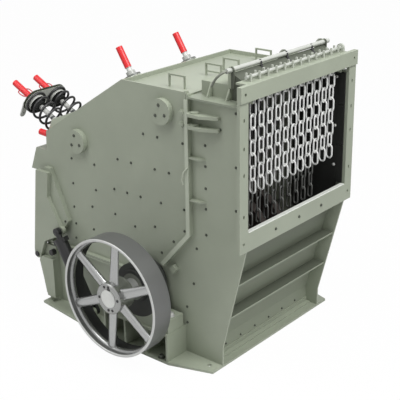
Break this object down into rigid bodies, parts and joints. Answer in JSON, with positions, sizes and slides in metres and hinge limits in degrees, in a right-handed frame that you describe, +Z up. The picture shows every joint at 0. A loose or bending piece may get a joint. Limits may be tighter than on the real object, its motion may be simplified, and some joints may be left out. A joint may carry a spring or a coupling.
{
  "type": "impact crusher",
  "caption": "Front-feed impact crusher with a belt pulley, a chain curtain in the feed mouth and a rear housing that tilts back on hydraulic cylinders.",
  "frame": {"origin": "centre of the base's corner anchor bolts, on the underside of the base plate", "axes": "+Z up, X along the rotor with the drive pulley at -X, the feed mouth faces -Y"},
  "size_m": [2.294, 2.9526, 2.6279],
  "materials": {
    "paint": "satin",
    "machined": "satin",
    "pulley_steel": "satin",
    "chain": "satin",
    "dark": "satin",
    "red_cap": "gloss",
    "cast": "matt"
  },
  "bodies": {
    "frame": {"base_plate": "paint", "left_side_wall": "paint", "right_side_wall": "paint", "front_wall": "paint", "rear_lower_wall": "paint", "feed_frame_left": "paint", "feed_frame_right": "paint", "feed_frame_top": "paint", "feed_frame_bottom": "paint", "feed_sill": "paint", "left_feed_liner": "cast", "right_feed_liner": "cast", "front_top_plate": "paint", "chain_hanger": "paint", "chain_box": "paint", "chain_rod": "machined", "chain_curtain": "chain", "left_pedestal": "paint", "right_pedestal": "paint", "left_bearing": "cast", "right_bearing": "cast", "left_hinge_bracket": "paint", "right_hinge_bracket": "paint", "left_cylinder_foot": "paint", "right_cylinder_foot": "paint", "left_clamp": "paint", "right_clamp": "paint"},
    "rotor": {"rotor_shaft": "machined", "rotor_drum": "cast", "pulley": "pulley_steel"},
    "rear_housing": {"left_rear_wall": "paint", "right_rear_wall": "paint", "rear_roof": "paint", "rear_slope": "paint", "rear_wall": "paint", "rear_hood": "paint", "left_hinge_arm": "paint", "right_hinge_arm": "paint", "left_lift_bracket": "paint", "right_lift_bracket": "paint", "front_apron_shaft": "paint", "rear_apron_shaft": "paint", "front_apron": "cast", "rear_apron": "cast", "front_apron_rods": "red_cap", "spring_seat": "paint", "rear_springs": "dark", "rear_yoke": "dark", "rear_apron_rods": "red_cap", "roof_covers": "paint"},
    "left_cylinder": {"left_cylinder_barrel": "dark"},
    "right_cylinder": {"right_cylinder_barrel": "dark"},
    "left_rod": {"left_cylinder_rod": "machined"},
    "right_rod": {"right_cylinder_rod": "machined"}
  },
  "joints": [
    {"name": "rotor_spin", "type": "hinge", "parent": "frame", "child": "rotor", "pos_m": [0, -0.28, 0.631], "axis": [1, 0, 0], "continuous": true},
    {"name": "rear_housing_tilt", "type": "hinge", "parent": "frame", "child": "rear_housing", "pos_m": [0, 1.162, 0.487], "axis": [-1, 0, 0], "range_deg": [0, 50]},
    {"name": "left_cylinder_swing", "type": "hinge", "parent": "frame", "child": "left_cylinder", "pos_m": [-0.856, 0.4, 0.11], "axis": [-1, 0, 0], "range_deg": [0, 12.8]},
    {"name": "left_rod_slide", "type": "slide", "parent": "left_cylinder", "child": "left_rod", "axis": [0, 0.5073, 0.8618], "range_m": [0, 0.35]},
    {"name": "right_cylinder_swing", "type": "hinge", "parent": "frame", "child": "right_cylinder", "pos_m": [0.856, 0.4, 0.11], "axis": [-1, 0, 0], "range_deg": [0, 12.8]},
    {"name": "right_rod_slide", "type": "slide", "parent": "right_cylinder", "child": "right_rod", "axis": [0, 0.5073, 0.8618], "range_m": [0, 0.35]}
  ],
  "couplings": [
    {"joint": "left_cylinder_swing", "follows": "rear_housing_tilt", "ratio": 0.24613},
    {"joint": "left_rod_slide", "follows": "rear_housing_tilt", "m_per_rad": 0.39554},
    {"joint": "right_cylinder_swing", "follows": "rear_housing_tilt", "ratio": 0.24613},
    {"joint": "right_rod_slide", "follows": "rear_housing_tilt", "m_per_rad": 0.39554}
  ]
}
